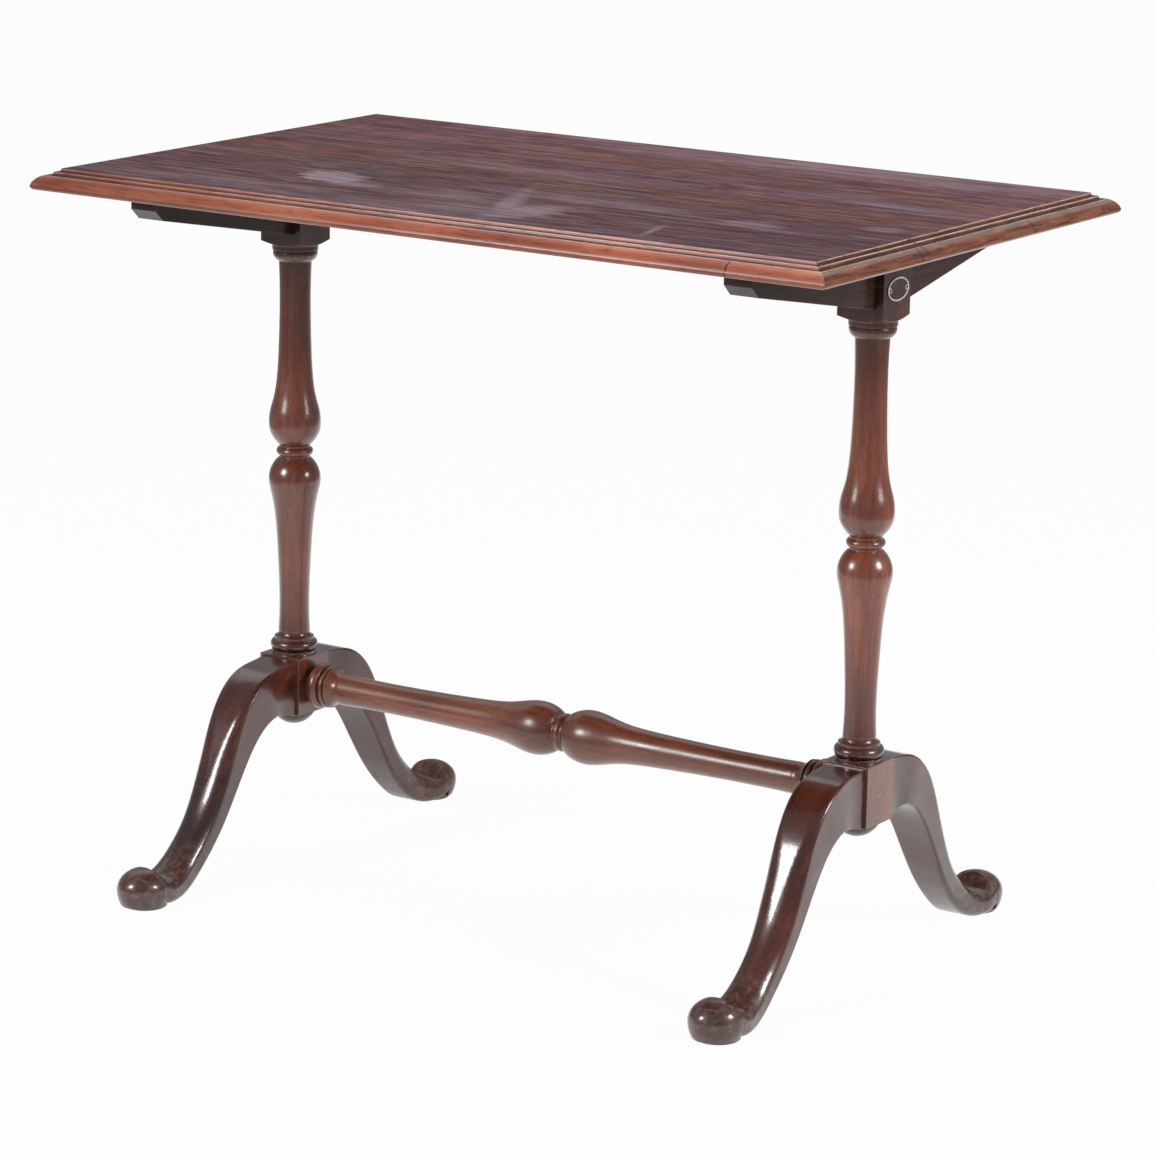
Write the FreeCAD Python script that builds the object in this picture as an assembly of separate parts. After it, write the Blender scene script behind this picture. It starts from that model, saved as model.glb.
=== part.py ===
import FreeCAD, Part
import os

os.makedirs("parts", exist_ok=True)
Vector = FreeCAD.Vector

# Overall sizes in millimetres: X along the table, front towards -Y, Z up from the floor
TABLE_HEIGHT = 710.0
TOP_LENGTH = 865.0
TOP_WIDTH = 543.0
TOP_THICKNESS = 20.0
FRONT_BOARD_WIDTH = 180.0
END_OVERHANG = 107.0
PAD_SETBACK = 34.5

# Moulded edge of the top: two steps down from the field, then a thumbnail nosing
FIRST_STEP_DROP = 3.0
FIRST_STEP_FLAT = 4.0
SECOND_STEP_DROP = 3.0
SECOND_STEP_FLAT = 5.0
STEP_SLOPE = 1.2
NOSING_RUN = 10.0
NOSING_BELLY_HEIGHT = 4.5
NOSING_UNDERCUT = 4.0
# Middle of the nosing's upper curve, as shares of its run from the outside and of its drop
NOSING_RUN_SHARE = 0.31
NOSING_DROP_SHARE = 0.44

# Bearers across the underside of the top
BEARER_SETBACK = 36.5
BEARER_WIDTH = 29.0
BEARER_END_FACE = 13.0
BEARER_END_DEPTH = 23.0
BEARER_BEVEL_LENGTH = 11.0
BEARER_ROOT_DEPTH = 61.0
BRIDLE_DEPTH = 32.0

# Wood screws that draw the top down on the bearers
SCREW_INNER_OFFSET = 65.0
SCREW_END_MARGIN = 45.0
SCREW_SHOULDER = 16.0
SCREW_BITE = 13.0
SCREW_DIAMETER = 4.8
SCREW_HEAD_DIAMETER = 9.0
SCREW_HEAD_HEIGHT = 3.5
SCREW_POCKET_DIAMETER = 11.0

# Square blocks of the columns
BLOCK_SIDE = 48.0
HEAD_LENGTH = 74.0
HEAD_SHOULDER_RISE = 4.0
HUB_BELOW_STRETCHER = 29.0
HUB_ABOVE_STRETCHER = 29.5

# Turned column, from the hub upwards
BASE_PLINTH_DIAMETER = 44.5
BASE_PLINTH_HEIGHT = 3.5
BASE_TORUS_DIAMETER = 47.2
BASE_TORUS_ROOT_DIAMETER = 39.5
BASE_TORUS_HEIGHT = 11.0
BASE_FILLET_DIAMETER = 39.0
BASE_FILLET_HEIGHT = 2.5
SCOTIA_DIAMETER = 37.4
SCOTIA_HEIGHT = 6.5
FOOT_SHAFT_DIAMETER = 31.4
WAIST_DIAMETER = 29.6
VASE_DIAMETER = 51.5
GROOVE_DIAMETER = 30.5
GROOVE_WIDTH = 1.8
BEAD_DIAMETER = 36.4
BEAD_HEIGHT = 8.5
UPPER_SHAFT_DIAMETER = 30.6
HEAD_SHAFT_DIAMETER = 32.4
OVOLO_FOOT_DIAMETER = 35.0
OVOLO_DIAMETER = 43.6
OVOLO_HEIGHT = 9.5
NECK_GROOVE_DIAMETER = 41.0
NECK_GROOVE_WIDTH = 1.5
COLLAR_DIAMETER = 45.4
COLLAR_HEIGHT = 5.0

# Share of the plain turned length that the lower vase takes
LOWER_VASE_SHARE = 0.488
# Lower vase: place along its length, and swell between the waist and the full diameter
LOWER_VASE_SHARES = ((0.125, 0.0), (0.323, 0.064), (0.516, 0.22), (0.68, 0.447), (0.788, 0.758),
                     (0.884, 1.0), (0.945, 0.74))
# Upper vase: place along its length, and swell between the slim shaft and the full diameter
UPPER_VASE_SHARES = ((0.032, 0.49), (0.073, 0.88), (0.133, 1.0), (0.19, 0.871), (0.252, 0.574),
                     (0.311, 0.373), (0.431, 0.172), (0.564, 0.072), (0.8, 0.0))
# Points of a quarter round, from its hollow side and from its full side
COVE_SHARE = 0.293
ROUND_SHARE = 0.707
QUARTER_SHARES = ((0.0, 1.0), (0.383, 0.924), (ROUND_SHARE, ROUND_SHARE), (0.924, 0.383), (1.0, 0.0))

# Legs, from the front or rear face of the hub outwards
LEG_WIDTH = 42.0
LEG_ROOT_DROP = 1.8
TONGUE_DEPTH = 11.0
TONGUE_NECK_WIDTH = 18.0
TONGUE_TAIL_WIDTH = 24.0
TONGUE_STOP = 12.0
PAD_DIAMETER = 42.5
PAD_HEIGHT = 4.0
PAD_CHAMFER = 1.0
TOE_WIDTH = 51.5
TOE_LENGTH = 57.5
TOE_HEIGHT = 38.0
TOE_WAIST_HEIGHT = 17.5
TOE_UNDER_HEIGHT = 30.0
TOE_OUTSET = 1.0
ANKLE_SETBACK = 28.9
TOE_SINK = 1.5

# Leg sections: reach from the hub (0) to the ankle (1) and on to the middle of the toe (2), height of
# the leg's line above the toe's waist, lift of the section over that line, depth and width as shares
# of the root's, then the rounding of the outer corners across and along the leg's depth, and of the
# inner corners
LEG_SECTION_SHARES = (
    (0.0, 1.0, 0.0, 1.0, 1.0, 0.05, 0.02, 0.02),
    (0.1923, 1.0, 0.0, 0.835, 1.0, 0.14, 0.05, 0.035),
    (0.3786, 0.8588, 0.0, 0.69, 0.99, 0.45, 0.16, 0.05),
    (0.4964, 0.6605, 0.0, 0.565, 0.97, 0.78, 0.33, 0.07),
    (0.5955, 0.4542, 0.0, 0.485, 0.95, 0.92, 0.43, 0.10),
    (0.6958, 0.2719, 0.0, 0.485, 0.90, 0.94, 0.47, 0.15),
    (0.8452, 0.0885, 0.0, 0.505, 0.92, 0.94, 0.48, 0.25),
    (1.0, -0.016, -0.01, 0.425, 1.09, 0.90, 0.46, 0.28),
    (1.482, -0.0235, -0.015, 0.375, 1.19, 0.76, 0.42, 0.26),
    (1.763, -0.0245, 0.14, 0.52, 1.205, 0.90, 0.53, 0.27),
    (2.0, -0.0245, 0.231, 0.612, 1.212, 0.97, 0.585, 0.33),
)

# Boss that closes the underside of the hub
BOSS_DIAMETER = 41.0
BOSS_DEPTH = 15.0
BOSS_EDGE_DEPTH = 2.5
BOSS_SPIGOT_DIAMETER = 14.0
BOSS_SPIGOT_LENGTH = 12.0

# Turned stretcher between the hubs
STRETCHER_HEIGHT = 175.0
TENON_DIAMETER = 20.0
TENON_LENGTH = 25.0
END_NECK_DIAMETER = 31.0
END_NECK_LENGTH = 7.0
END_RING_DIAMETER = 46.0
END_RING_ROOT_DIAMETER = 40.0
END_RING_WIDTH = 10.5
END_GROOVE_DIAMETER = 36.0
END_GROOVE_WIDTH = 1.8
INNER_RING_DIAMETER = 41.5
INNER_RING_ROOT_DIAMETER = 38.0
INNER_RING_WIDTH = 5.0
FLARE_DIAMETER = 40.5
FLARE_LENGTH = 14.0
END_SHAFT_DIAMETER = 31.0
SLIM_SHAFT_DIAMETER = 29.4
KNOP_DIAMETER = 52.6
MIDDLE_BEAD_DIAMETER = 37.4
MIDDLE_BEAD_WIDTH = 8.0
MIDDLE_GROOVE_DIAMETER = 33.0
MIDDLE_GROOVE_WIDTH = 1.4
# Knop and shaft: place from the middle to the flare, and swell between the slim shaft and the knop
KNOP_SHARES = ((0.014, 0.50), (0.037, 0.77), (0.09, 1.0), (0.137, 0.905), (0.183, 0.68),
               (0.236, 0.44), (0.33, 0.237), (0.471, 0.112), (0.664, 0.017), (0.815, 0.0))

# Screw through each hub into the stretcher, hidden by a plug in the outer face
STRETCHER_SCREW_DIAMETER = 6.0
STRETCHER_SCREW_HEAD_DIAMETER = 10.0
STRETCHER_SCREW_HEAD_HEIGHT = 4.0
STRETCHER_SCREW_BITE = 30.0
PLUG_DIAMETER = 11.0
PLUG_LENGTH = 6.0

# Room in the glued joints and round the screws, and how far cutters run past a face
JOINT_CLEARANCE = 0.15
SCREW_CLEARANCE = 0.1
OVERRUN = 5.0

# Levels and places worked out from the sizes above
top_underside = TABLE_HEIGHT - TOP_THICKNESS
hub_bottom = STRETCHER_HEIGHT - HUB_BELOW_STRETCHER
hub_top = STRETCHER_HEIGHT + HUB_ABOVE_STRETCHER
leg_root_top = hub_top - LEG_ROOT_DROP
tongue_top = leg_root_top - TONGUE_STOP
head_bottom = top_underside - HEAD_LENGTH
bridle_floor = top_underside - BRIDLE_DEPTH
half_block = BLOCK_SIDE / 2
half_spacing = TOP_LENGTH / 2 - END_OVERHANG
leg_reach = TOP_WIDTH / 2 - PAD_SETBACK - half_block
half_bearer = TOP_WIDTH / 2 - BEARER_SETBACK
board_joint = FRONT_BOARD_WIDTH - TOP_WIDTH / 2
outer_screw = half_bearer - SCREW_END_MARGIN
screw_places = (-outer_screw, -SCREW_INNER_OFFSET, SCREW_INNER_OFFSET, outer_screw)
ORIGIN = Vector(0, 0, 0)
X_AXIS = Vector(1, 0, 0)
Y_AXIS = Vector(0, 1, 0)
Z_AXIS = Vector(0, 0, 1)


def line(start, end):
    return Part.LineSegment(start, end).toShape()


def arc(start, middle, end):
    return Part.Arc(start, middle, end).toShape()


def curve(points):
    spline = Part.BSplineCurve()
    spline.interpolate(points)
    return spline.toShape()


def chain(points):
    """Straight edges from point to point."""
    return [line(start, end) for start, end in zip(points, points[1:])]


def face_of(edges):
    return Part.Face(Part.Wire(Part.__sortEdges__(edges)))


def turned(edges, axis):
    """Solid of revolution of a half outline that closes along the axis."""
    return face_of(edges).revolve(ORIGIN, axis, 360)


def box(low, high):
    size = high - low
    return Part.makeBox(size.x, size.y, size.z, low)


def swell_points(shares, start, length, slim_diameter, full_diameter):
    """Places and radii of a swelling outline."""
    span = full_diameter - slim_diameter
    return [(start + place * length, (slim_diameter + swell * span) / 2) for place, swell in shares]


def save(shape, name):
    """One file for each sub-part, named after it."""
    shape.exportStep("parts/" + name + ".step")


# Top


def edge_section(half_size, to_point):
    """Section across the whole top with the moulded edge on both sides."""
    first_level = TABLE_HEIGHT - FIRST_STEP_DROP
    second_level = first_level - SECOND_STEP_DROP
    belly_level = top_underside + NOSING_BELLY_HEIGHT
    nosing_start = half_size - NOSING_RUN
    second_foot = nosing_start - SECOND_STEP_FLAT
    second_edge = second_foot - STEP_SLOPE
    first_foot = second_edge - FIRST_STEP_FLAT
    field_edge = first_foot - STEP_SLOPE
    under_edge = half_size - NOSING_UNDERCUT
    shoulder = (half_size - NOSING_RUN_SHARE * NOSING_RUN,
                second_level - NOSING_DROP_SHARE * (second_level - belly_level))
    under_middle = (half_size - (1 - ROUND_SHARE) * NOSING_UNDERCUT,
                    top_underside + (1 - ROUND_SHARE) * NOSING_BELLY_HEIGHT)
    edges = [line(to_point(-field_edge, TABLE_HEIGHT), to_point(field_edge, TABLE_HEIGHT)),
             line(to_point(-under_edge, top_underside), to_point(under_edge, top_underside))]
    for side in (-1, 1):
        steps = ((field_edge, TABLE_HEIGHT), (first_foot, first_level), (second_edge, first_level),
                 (second_foot, second_level), (nosing_start, second_level))
        edges += chain([to_point(side * place, level) for place, level in steps])
        belly = to_point(side * half_size, belly_level)
        edges.append(arc(to_point(side * nosing_start, second_level),
                         to_point(side * shoulder[0], shoulder[1]), belly))
        edges.append(arc(belly, to_point(side * under_middle[0], under_middle[1]),
                         to_point(side * under_edge, top_underside)))
    return face_of(edges)


def make_boards():
    """Two boards, glued edge to edge, with the edge worked in the solid and mitred at the corners."""
    half_length = TOP_LENGTH / 2
    half_width = TOP_WIDTH / 2
    along = edge_section(half_width, lambda across, level: Vector(-half_length, across, level))
    across = edge_section(half_length, lambda place, level: Vector(place, -half_width, level))
    top = along.extrude(X_AXIS * TOP_LENGTH).common(across.extrude(Y_AXIS * TOP_WIDTH))
    for side in (-1, 1):
        for place in screw_places:
            top = top.cut(Part.makeCylinder(SCREW_DIAMETER / 2 + SCREW_CLEARANCE, SCREW_BITE + OVERRUN,
                                            Vector(side * half_spacing, place, top_underside - OVERRUN)))
    front_half = box(Vector(-TOP_LENGTH, -TOP_WIDTH, 0), Vector(TOP_LENGTH, board_joint, 2 * TABLE_HEIGHT))
    save(top.common(front_half), "top_board_front")
    save(top.cut(front_half), "top_board_rear")


# Bearers and their screws


def make_bearer():
    """Tapered bearer, notched from below where it drops into the column's bridle."""
    notch = half_block + JOINT_CLEARANCE
    root_level = top_underside - BEARER_ROOT_DEPTH
    half_outline = [(half_bearer, top_underside), (half_bearer, top_underside - BEARER_END_FACE),
                    (half_bearer - BEARER_BEVEL_LENGTH, top_underside - BEARER_END_DEPTH),
                    (notch, root_level), (notch, bridle_floor)]
    outline = half_outline + [(-place, level) for place, level in reversed(half_outline)]
    points = [Vector(-BEARER_WIDTH / 2, place, level) for place, level in outline]
    bearer = Part.Face(Part.makePolygon(points + points[:1])).extrude(X_AXIS * BEARER_WIDTH)
    seat = top_underside - SCREW_SHOULDER
    hole_radius = SCREW_DIAMETER / 2 + SCREW_CLEARANCE
    cutters = []
    for place in screw_places:
        cutters.append(Part.makeCylinder(hole_radius, BEARER_ROOT_DEPTH + OVERRUN,
                                         Vector(0, place, root_level)))
        cutters.append(Part.makeCylinder(SCREW_POCKET_DIAMETER / 2, seat - root_level + OVERRUN,
                                         Vector(0, place, root_level - OVERRUN)))
    return bearer.cut(cutters)


def make_bearer_screws():
    """Four screws driven up through the pockets of one bearer."""
    seat = top_underside - SCREW_SHOULDER
    screws = []
    for place in screw_places:
        head = Part.makeCylinder(SCREW_HEAD_DIAMETER / 2, SCREW_HEAD_HEIGHT,
                                 Vector(0, place, seat - SCREW_HEAD_HEIGHT))
        shank = Part.makeCylinder(SCREW_DIAMETER / 2, SCREW_SHOULDER + SCREW_BITE, Vector(0, place, seat))
        screws.append(head.fuse(shank))
    return Part.makeCompound(screws)


# Columns


def column_outline():
    """Half outline of the turned length, from the hub's top to the square head."""
    def at(radius, level):
        return Vector(radius, 0, level)

    def cove(low_radius, low, high_radius, high):
        middle = at(high_radius + COVE_SHARE * (low_radius - high_radius), low + COVE_SHARE * (high - low))
        return arc(at(low_radius, low), middle, at(high_radius, high))

    plinth = BASE_PLINTH_DIAMETER / 2
    torus_root = BASE_TORUS_ROOT_DIAMETER / 2
    fillet = BASE_FILLET_DIAMETER / 2
    scotia = SCOTIA_DIAMETER / 2
    foot_shaft = FOOT_SHAFT_DIAMETER / 2
    groove = GROOVE_DIAMETER / 2
    head_shaft = HEAD_SHAFT_DIAMETER / 2
    ovolo_foot = OVOLO_FOOT_DIAMETER / 2
    ovolo = OVOLO_DIAMETER / 2
    neck = NECK_GROOVE_DIAMETER / 2
    collar = COLLAR_DIAMETER / 2
    plinth_top = hub_top + BASE_PLINTH_HEIGHT
    torus_top = plinth_top + BASE_TORUS_HEIGHT
    fillet_top = torus_top + BASE_FILLET_HEIGHT
    shaft_foot = fillet_top + SCOTIA_HEIGHT
    collar_foot = head_bottom - COLLAR_HEIGHT
    ovolo_top = collar_foot - NECK_GROOVE_WIDTH
    shaft_head = ovolo_top - OVOLO_HEIGHT
    lower_length = LOWER_VASE_SHARE * (shaft_head - shaft_foot - BEAD_HEIGHT - 2 * GROOVE_WIDTH)
    vase_top = shaft_foot + lower_length
    bead_foot = vase_top + GROOVE_WIDTH
    bead_top = bead_foot + BEAD_HEIGHT
    bulb_foot = bead_top + GROOVE_WIDTH
    upper_length = shaft_head - bulb_foot

    lower = swell_points(LOWER_VASE_SHARES, shaft_foot, lower_length, WAIST_DIAMETER, VASE_DIAMETER)
    upper = swell_points(UPPER_VASE_SHARES, bulb_foot, upper_length, UPPER_SHAFT_DIAMETER, VASE_DIAMETER)
    lower_points = [at(foot_shaft, shaft_foot)] + [at(radius, level) for level, radius in lower]
    upper_points = [at(groove, bulb_foot)] + [at(radius, level) for level, radius in upper]
    upper_points.append(at(head_shaft, shaft_head))
    ovolo_middle = at(ovolo_foot + ROUND_SHARE * (ovolo - ovolo_foot),
                      ovolo_top - ROUND_SHARE * OVOLO_HEIGHT)
    edges = chain([at(0, hub_top), at(plinth, hub_top), at(plinth, plinth_top), at(torus_root, plinth_top)])
    edges.append(arc(at(torus_root, plinth_top), at(BASE_TORUS_DIAMETER / 2, (plinth_top + torus_top) / 2),
                     at(torus_root, torus_top)))
    edges += chain([at(torus_root, torus_top), at(fillet, torus_top), at(fillet, fillet_top),
                    at(scotia, fillet_top)])
    edges.append(cove(scotia, fillet_top, foot_shaft, shaft_foot))
    edges.append(curve(lower_points + [at(groove, vase_top)]))
    edges.append(line(at(groove, vase_top), at(groove, bead_foot)))
    edges.append(arc(at(groove, bead_foot), at(BEAD_DIAMETER / 2, (bead_foot + bead_top) / 2),
                     at(groove, bead_top)))
    edges.append(line(at(groove, bead_top), at(groove, bulb_foot)))
    edges.append(curve(upper_points))
    edges.append(line(at(head_shaft, shaft_head), at(ovolo_foot, shaft_head)))
    edges.append(arc(at(ovolo_foot, shaft_head), ovolo_middle, at(ovolo, ovolo_top)))
    edges += chain([at(ovolo, ovolo_top), at(neck, ovolo_top), at(neck, collar_foot),
                    at(collar, collar_foot), at(collar, head_bottom), at(0, head_bottom), at(0, hub_top)])
    return edges


def make_head():
    """Square head whose lower corners are turned off to a cone, slotted for the bearer."""
    corner = BLOCK_SIDE
    collar = COLLAR_DIAMETER / 2
    cone_rise = HEAD_SHOULDER_RISE * (corner - collar) / (half_block * 2 ** 0.5 - collar)
    cone = turned(chain([Vector(0, 0, head_bottom), Vector(collar, 0, head_bottom),
                         Vector(corner, 0, head_bottom + cone_rise), Vector(corner, 0, top_underside),
                         Vector(0, 0, top_underside), Vector(0, 0, head_bottom)]), Z_AXIS)
    head = cone.common(box(Vector(-half_block, -half_block, head_bottom),
                           Vector(half_block, half_block, top_underside)))
    half_slot = BEARER_WIDTH / 2 + JOINT_CLEARANCE
    return head.cut(box(Vector(-half_slot, -BLOCK_SIDE, bridle_floor),
                        Vector(half_slot, BLOCK_SIDE, top_underside + OVERRUN)))


def dovetail(clearance, top_level, bottom_level):
    """Dovetail on the front of the hub, wider towards the column's axis."""
    neck = TONGUE_NECK_WIDTH / 2 + clearance
    tail = TONGUE_TAIL_WIDTH / 2 + clearance
    deep = TONGUE_DEPTH + clearance - half_block
    outline = [(-neck, -half_block - OVERRUN), (neck, -half_block - OVERRUN), (neck, -half_block),
               (tail, deep), (-tail, deep), (-neck, -half_block)]
    points = [Vector(x, y, bottom_level) for x, y in outline]
    return Part.Face(Part.makePolygon(points + points[:1])).extrude(Z_AXIS * (top_level - bottom_level))


def make_column():
    """Column of the left standard on the Z axis: the stretcher enters from +X."""
    hub = box(Vector(-half_block, -half_block, hub_bottom), Vector(half_block, half_block, hub_top))
    column = hub.fuse([turned(column_outline(), Z_AXIS), make_head()]).removeSplitter()
    socket = dovetail(JOINT_CLEARANCE, tongue_top + JOINT_CLEARANCE, hub_bottom - OVERRUN)
    cutters = [socket, socket.rotated(ORIGIN, Z_AXIS, 180)]
    cutters.append(Part.makeCylinder(BOSS_SPIGOT_DIAMETER / 2 + JOINT_CLEARANCE,
                                     BOSS_SPIGOT_LENGTH + OVERRUN, Vector(0, 0, hub_bottom - OVERRUN)))
    mortise_floor = half_block - TENON_LENGTH - JOINT_CLEARANCE
    cutters.append(Part.makeCylinder(TENON_DIAMETER / 2 + JOINT_CLEARANCE, BLOCK_SIDE,
                                     Vector(mortise_floor, 0, STRETCHER_HEIGHT), X_AXIS))
    pocket_depth = PLUG_LENGTH + STRETCHER_SCREW_HEAD_HEIGHT
    cutters.append(Part.makeCylinder(PLUG_DIAMETER / 2 + JOINT_CLEARANCE, pocket_depth + OVERRUN,
                                     Vector(-half_block - OVERRUN, 0, STRETCHER_HEIGHT), X_AXIS))
    cutters.append(Part.makeCylinder(STRETCHER_SCREW_DIAMETER / 2 + SCREW_CLEARANCE, BLOCK_SIDE,
                                     Vector(-half_block, 0, STRETCHER_HEIGHT), X_AXIS))
    return column.cut(cutters)


def make_boss():
    """Turned boss under the hub, with a spigot up into it."""
    def at(radius, drop):
        return Vector(radius, 0, hub_bottom - drop)

    radius = BOSS_DIAMETER / 2
    spigot = BOSS_SPIGOT_DIAMETER / 2
    crown = BOSS_DEPTH - BOSS_EDGE_DEPTH
    dome_radius = (radius ** 2 + crown ** 2) / (2 * crown)
    middle_rise = dome_radius - (dome_radius ** 2 - (radius / 2) ** 2) ** 0.5
    edges = chain([at(0, BOSS_DEPTH), at(0, -BOSS_SPIGOT_LENGTH), at(spigot, -BOSS_SPIGOT_LENGTH),
                   at(spigot, 0), at(radius, 0), at(radius, BOSS_EDGE_DEPTH)])
    edges.append(arc(at(radius, BOSS_EDGE_DEPTH), at(radius / 2, BOSS_DEPTH - middle_rise),
                     at(0, BOSS_DEPTH)))
    return turned(edges, Z_AXIS)


# Legs


def leg_section(centre, up, half_depth, half_width, outer_round, inner_round):
    """Rounded section across the leg: outer corners above, inner corners below."""
    def corner(side, level, radii):
        def at(across_share, along_share):
            return (centre + X_AXIS * side * (half_width - across_share * radii[0])
                    + up * level * (half_depth - along_share * radii[1]))

        points = [at(1 - across, 1 - along) for across, along in QUARTER_SHARES]
        spline = Part.BSplineCurve()
        spline.interpolate(points, InitialTangent=X_AXIS * side, FinalTangent=-up * level)
        return spline.toShape(), points[0], points[-1]

    corners = [corner(1, 1, outer_round), corner(1, -1, inner_round), corner(-1, -1, inner_round),
               corner(-1, 1, outer_round)]
    (right, right_top, right_high), (lower_right, right_bottom, right_low) = corners[:2]
    (lower_left, left_bottom, left_low), (left, left_top, left_high) = corners[2:]
    return Part.Wire([right, line(right_high, right_low), lower_right, line(right_bottom, left_bottom),
                      lower_left, line(left_low, left_high), left, line(left_top, right_top)])


def make_leg():
    """Front leg of a standard whose column stands on the Z axis."""
    half_root = (leg_root_top - hub_bottom) / 2
    root_level = (leg_root_top + hub_bottom) / 2
    ankle_reach = leg_reach + TOE_OUTSET - ANKLE_SETBACK
    rise = root_level - TOE_WAIST_HEIGHT
    centres = [Vector(0, -half_block - min(reach, 1) * ankle_reach - max(reach - 1, 0) * ANKLE_SETBACK,
                      TOE_WAIST_HEIGHT + height * rise) for reach, height, *_ in LEG_SECTION_SHARES]
    path = Part.BSplineCurve()
    path.interpolate(centres, InitialTangent=-Y_AXIS, FinalTangent=-Y_AXIS)
    sections = []
    for centre, (_, _, lift, depth, width, across, along, inner) in zip(centres, LEG_SECTION_SHARES):
        direction = path.tangent(path.parameter(centre))[0]
        up = Vector(0, direction.z, -direction.y)
        half_depth = depth * half_root
        half_width = width * LEG_WIDTH / 2
        outer_round = (across * half_width, 2 * along * half_depth)
        inner_round = (2 * inner * half_depth, 2 * inner * half_depth)
        sections.append(leg_section(centre + up * lift * half_root, up, half_depth, half_width, outer_round,
                                    inner_round))
    shaft = Part.makeLoft(sections, True)

    pad_place = Vector(0, -half_block - leg_reach, 0)
    pad_radius = PAD_DIAMETER / 2
    pad = turned(chain([Vector(0, 0, 0), Vector(pad_radius - PAD_CHAMFER, 0, 0),
                        Vector(pad_radius, 0, PAD_CHAMFER), Vector(pad_radius, 0, PAD_HEIGHT),
                        Vector(0, 0, PAD_HEIGHT), Vector(0, 0, 0)]), Z_AXIS)
    pad.translate(pad_place)
    halves = []
    waist = TOE_WAIST_HEIGHT
    for half_height, low, high in ((TOE_HEIGHT - waist, 0, TOE_LENGTH),
                                   (TOE_UNDER_HEIGHT, PAD_HEIGHT - TOE_SINK - waist, 0)):
        squash = FreeCAD.Matrix()
        squash.A22 = TOE_LENGTH / TOE_WIDTH
        squash.A33 = half_height / (TOE_WIDTH / 2)
        half = Part.makeSphere(TOE_WIDTH / 2).transformGeometry(squash)
        halves.append(half.common(box(Vector(-TOE_WIDTH, -TOE_LENGTH, low), Vector(TOE_WIDTH, 0, high))))
    toe = halves[0].fuse(halves[1])
    toe.translate(pad_place + Vector(0, -TOE_OUTSET, waist))
    tongue = dovetail(0, tongue_top, hub_bottom)
    return shaft.fuse(toe.fuse(pad)).fuse(tongue)


# Stretcher, its screws and plugs


def make_stretcher():
    """Turned stretcher along X, alike on both sides of its middle bead."""
    def at(place, radius):
        return Vector(place, 0, radius)

    shoulder = half_spacing - half_block
    tenon = TENON_DIAMETER / 2
    tenon_end = shoulder + TENON_LENGTH
    ring_root = END_RING_ROOT_DIAMETER / 2
    neck = END_NECK_DIAMETER / 2
    ring_end = shoulder - END_NECK_LENGTH
    ring_start = ring_end - END_RING_WIDTH
    end_groove = END_GROOVE_DIAMETER / 2
    inner_root = INNER_RING_ROOT_DIAMETER / 2
    inner_end = ring_start - END_GROOVE_WIDTH
    inner_start = inner_end - INNER_RING_WIDTH
    flare = FLARE_DIAMETER / 2
    flare_end = inner_start - END_GROOVE_WIDTH
    flare_start = flare_end - FLARE_LENGTH
    end_shaft = END_SHAFT_DIAMETER / 2
    bead_end = MIDDLE_BEAD_WIDTH / 2
    groove = MIDDLE_GROOVE_DIAMETER / 2
    knop_start = bead_end + MIDDLE_GROOVE_WIDTH

    knop = swell_points(KNOP_SHARES, knop_start, flare_start - knop_start, SLIM_SHAFT_DIAMETER,
                        KNOP_DIAMETER)
    shaft_points = [at(knop_start, groove)] + [at(place, radius) for place, radius in knop]
    shaft_points.append(at(flare_start, end_shaft))
    flare_middle = at(flare_end - COVE_SHARE * FLARE_LENGTH, end_shaft + COVE_SHARE * (flare - end_shaft))
    half = [line(at(bead_end, groove), at(knop_start, groove)), curve(shaft_points)]
    half.append(arc(at(flare_start, end_shaft), flare_middle, at(flare_end, flare)))
    half += chain([at(flare_end, flare), at(flare_end, end_groove), at(inner_start, end_groove),
                   at(inner_start, inner_root)])
    half.append(arc(at(inner_start, inner_root), at((inner_start + inner_end) / 2, INNER_RING_DIAMETER / 2),
                    at(inner_end, inner_root)))
    half += chain([at(inner_end, inner_root), at(inner_end, end_groove), at(ring_start, end_groove),
                   at(ring_start, ring_root)])
    half.append(arc(at(ring_start, ring_root), at((ring_start + ring_end) / 2, END_RING_DIAMETER / 2),
                    at(ring_end, ring_root)))
    half += chain([at(ring_end, ring_root), at(ring_end, neck), at(shoulder, neck), at(shoulder, tenon),
                   at(tenon_end, tenon), at(tenon_end, 0)])
    edges = half + [edge.mirror(ORIGIN, X_AXIS) for edge in half]
    edges.append(arc(at(-bead_end, groove), at(0, MIDDLE_BEAD_DIAMETER / 2), at(bead_end, groove)))
    edges.append(line(at(-tenon_end, 0), at(tenon_end, 0)))
    stretcher = turned(edges, X_AXIS)
    hole_radius = STRETCHER_SCREW_DIAMETER / 2 + SCREW_CLEARANCE
    for side in (-1, 1):
        hole_end = Vector(side * (tenon_end + OVERRUN), 0, 0)
        stretcher = stretcher.cut(Part.makeCylinder(hole_radius, STRETCHER_SCREW_BITE + OVERRUN, hole_end,
                                                    -X_AXIS * side))
    stretcher.translate(Z_AXIS * STRETCHER_HEIGHT)
    return stretcher


def make_stretcher_screw():
    """Screw from the outer face of the left hub through to the stretcher's tenon."""
    head_start = -half_block + PLUG_LENGTH
    seat = head_start + STRETCHER_SCREW_HEAD_HEIGHT
    tip = half_block - TENON_LENGTH + STRETCHER_SCREW_BITE
    head = Part.makeCylinder(STRETCHER_SCREW_HEAD_DIAMETER / 2, STRETCHER_SCREW_HEAD_HEIGHT,
                             Vector(head_start, 0, STRETCHER_HEIGHT), X_AXIS)
    shank = Part.makeCylinder(STRETCHER_SCREW_DIAMETER / 2, tip - seat,
                              Vector(seat, 0, STRETCHER_HEIGHT), X_AXIS)
    return head.fuse(shank)


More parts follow.
